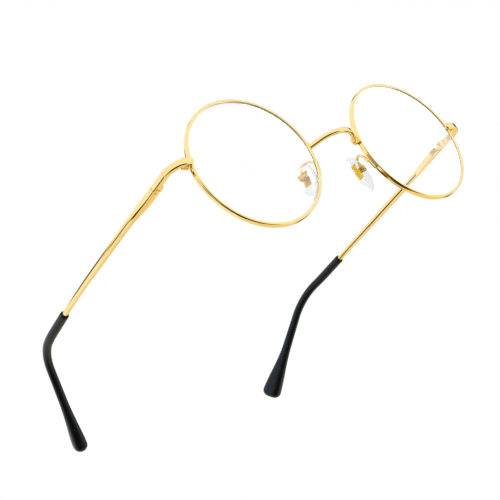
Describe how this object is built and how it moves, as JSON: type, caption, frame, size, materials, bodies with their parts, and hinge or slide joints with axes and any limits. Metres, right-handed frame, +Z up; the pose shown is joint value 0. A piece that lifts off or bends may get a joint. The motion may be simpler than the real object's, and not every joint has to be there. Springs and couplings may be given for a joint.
{
  "type": "eyeglasses",
  "caption": "Round wire spectacles with clear lenses, arched bridge, rocking nose pads and folding temples that end in curved sleeves.",
  "frame": {"origin": "middle of the base, on the surface that the rims and the temple tips stand on", "axes": "+X to the wearer's left, +Y from the lenses back to the temple tips, +Z up"},
  "size_m": [0.1378, 0.1525, 0.049],
  "materials": {
    "gold": "polished",
    "bright_gold": "polished",
    "screw": "satin",
    "lens": "polished, clear",
    "silicone": "satin, clear",
    "tip": "satin"
  },
  "bodies": {
    "front": {"rim_left": "gold", "rim_right": "gold", "lens_left": "lens", "lens_right": "lens", "bridge": "gold", "end_piece_left": "gold", "end_piece_right": "gold", "lock_block_upper_left": "gold", "lock_block_upper_right": "gold", "lock_block_lower_left": "gold", "lock_block_lower_right": "gold", "lock_screw_left": "screw", "lock_screw_right": "screw", "hinge_ears_left": "gold", "hinge_ears_right": "gold", "hinge_screw_left": "screw", "hinge_screw_right": "screw", "pad_arm_left": "gold", "pad_arm_right": "gold", "pad_box_left": "gold", "pad_box_right": "gold", "pad_screw_left": "screw", "pad_screw_right": "screw"},
    "left_temple": {"hinge_leaf_left": "gold", "temple_left": "gold", "temple_tip_left": "tip"},
    "right_temple": {"hinge_leaf_right": "gold", "temple_right": "gold", "temple_tip_right": "tip"},
    "left_pad": {"pad_holder_left": "bright_gold", "nose_pad_left": "silicone"},
    "right_pad": {"pad_holder_right": "bright_gold", "nose_pad_right": "silicone"}
  },
  "joints": [
    {"name": "left_temple_fold", "type": "hinge", "parent": "front", "child": "left_temple", "pos_m": [0.0662, -0.05415, 0.02839], "axis": [0, -0.0136, 0.9999], "range_deg": [0, 87]},
    {"name": "right_temple_fold", "type": "hinge", "parent": "front", "child": "right_temple", "pos_m": [-0.0662, -0.05415, 0.02839], "axis": [0, 0.0136, -0.9999], "range_deg": [0, 82]},
    {"name": "left_pad_rock", "type": "hinge", "parent": "front", "child": "left_pad", "pos_m": [0.01427, -0.0612, 0.01941], "axis": [0.2034, 0.9742, 0.0974], "range_deg": [-8, 8]},
    {"name": "right_pad_rock", "type": "hinge", "parent": "front", "child": "right_pad", "pos_m": [-0.01427, -0.0612, 0.01941], "axis": [0.2034, -0.9742, -0.0974], "range_deg": [-8, 8]}
  ]
}
